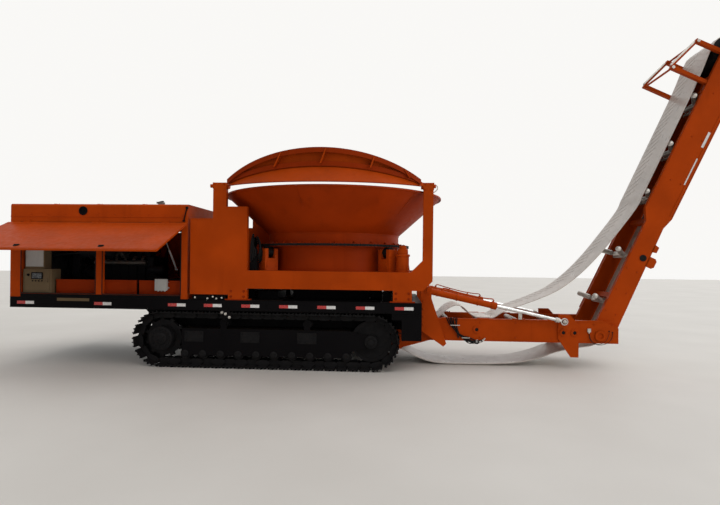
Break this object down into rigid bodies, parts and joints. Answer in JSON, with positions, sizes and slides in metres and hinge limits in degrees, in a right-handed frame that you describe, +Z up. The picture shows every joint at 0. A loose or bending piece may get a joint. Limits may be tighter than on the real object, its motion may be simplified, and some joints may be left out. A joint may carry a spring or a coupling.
{
  "type": "tub grinder",
  "caption": "Tracked tub grinder with an open-topped rotating tub over a hammer mill, a lift-up engine bay door, a hinged hood and a folding belt conveyor",
  "frame": {"origin": "on the ground under the axis of the tub, on the machine's centre line", "axes": "+X towards the discharge conveyor, +Y towards the far side with the shut engine door, +Z up"},
  "size_m": [12.5295, 4.3249, 5.6888],
  "materials": {
    "orange_paint": "satin orange paint with light wear",
    "black_paint": "satin black chassis paint",
    "track_steel": "dark worn steel with dust",
    "dark_orange": "orange paint in shade",
    "engine_paint": "dark grey engine paint",
    "radiator_core": "black core",
    "beige_box": "beige powder coat",
    "roller_steel": "pale zinc plated tube",
    "mill_steel": "worn hammer steel",
    "belt_rubber": "grey worn conveyor belt",
    "pulley_black": "black lagged pulley",
    "chrome_rod": "hard chrome"
  },
  "bodies": {
    "root": {"track_near": "track_steel", "track_far": "track_steel", "track_frames": "black_paint", "track_rollers": "track_steel", "sprockets": "track_steel", "idlers": "track_steel", "chassis_frame": "black_paint", "end_boxes": "black_paint", "car_body": "black_paint", "enclosure_frame": "orange_paint", "enclosure_roof": "orange_paint", "enclosure_walls": "orange_paint", "end_grille": "black_paint", "engine_block": "engine_paint", "radiator_pack": "radiator_core", "hydraulic_tank": "orange_paint", "control_box": "beige_box", "sill_panel": "dark_orange", "exhaust_cap": "black_paint", "tilt_hinge": "black_paint", "mill_housing": "black_paint", "belly_pan": "black_paint", "conveyor_brackets": "orange_paint"},
    "door_near": {"door_near": "orange_paint"},
    "door_far": {"door_far": "orange_paint"},
    "tilt_frame": {"side_plate_near": "orange_paint", "side_plate_far": "orange_paint", "tub_floor": "orange_paint", "floor_drum": "orange_paint", "roller_supports": "orange_paint", "support_rollers": "track_steel"},
    "tub": {"tub_ring": "orange_paint", "tub_shell": "orange_paint"},
    "hood": {"hood_visor": "orange_paint", "hood_arch": "orange_paint", "hood_lugs": "orange_paint"},
    "mill_rotor": {"mill_rotor": "mill_steel"},
    "conveyor_lower": {"lower_frame": "orange_paint", "tail_pulley": "pulley_black", "lower_idlers": "roller_steel", "belt_lower": "belt_rubber", "belt_slack_top": "belt_rubber", "belt_slack_return": "belt_rubber"},
    "conveyor_upper": {"upper_frame": "orange_paint", "head_pulley": "pulley_black", "head_drive": "black_paint", "upper_idlers": "roller_steel", "head_guard": "orange_paint", "belt_upper": "belt_rubber"},
    "lift_barrels": {"lift_barrels": "orange_paint"},
    "lift_rods": {"lift_rods": "chrome_rod"}
  },
  "joints": [
    {"name": "tub_tilt", "type": "hinge", "parent": "root", "child": "tilt_frame", "pos_m": [0, 1.2, 1.235], "axis": [-1, 0, 0], "range_deg": [0, 45]},
    {"name": "tub_spin", "type": "hinge", "parent": "tilt_frame", "child": "tub", "pos_m": [0, 0, 2.055], "axis": [0, 0, 1], "continuous": true},
    {"name": "hood_swing", "type": "hinge", "parent": "tilt_frame", "child": "hood", "pos_m": [0, -1.2, 3.01], "axis": [-1, 0, 0], "range_deg": [0, 60]},
    {"name": "mill_spin", "type": "hinge", "parent": "root", "child": "mill_rotor", "pos_m": [0, 0, 1.29], "axis": [1, 0, 0], "continuous": true},
    {"name": "door_near_swing", "type": "hinge", "parent": "root", "child": "door_near", "pos_m": [-3.8, -1.275, 2.38], "axis": [-1, 0, 0], "range_deg": [-67, 5]},
    {"name": "door_far_swing", "type": "hinge", "parent": "root", "child": "door_far", "pos_m": [-3.8, 1.275, 2.38], "axis": [1, 0, 0], "range_deg": [0, 72]},
    {"name": "conveyor_lift", "type": "hinge", "parent": "root", "child": "conveyor_lower", "pos_m": [1.15, 0, 0.42], "axis": [0, -1, 0], "range_deg": [0, 15]},
    {"name": "conveyor_fold", "type": "hinge", "parent": "conveyor_lower", "child": "conveyor_upper", "pos_m": [4.593, 0, 0.579], "axis": [0, -1, 0], "range_deg": [-65, 40], "deforming": ["belt_slack_top", "belt_slack_return"]},
    {"name": "lift_barrel_turn", "type": "hinge", "parent": "root", "child": "lift_barrels", "pos_m": [1.69, 0, 1.306], "axis": [0, -1, 0], "range_deg": [0, 18.35]},
    {"name": "lift_rod_slide", "type": "slide", "parent": "lift_barrels", "child": "lift_rods", "axis": [0.9781, 0, -0.2081], "range_m": [-0.245, 0]}
  ],
  "couplings": [
    {"joint": "lift_barrel_turn", "follows": "conveyor_lift", "ratio": 1.21},
    {"joint": "lift_rod_slide", "follows": "conveyor_lift", "m_per_rad": -0.91673}
  ]
}
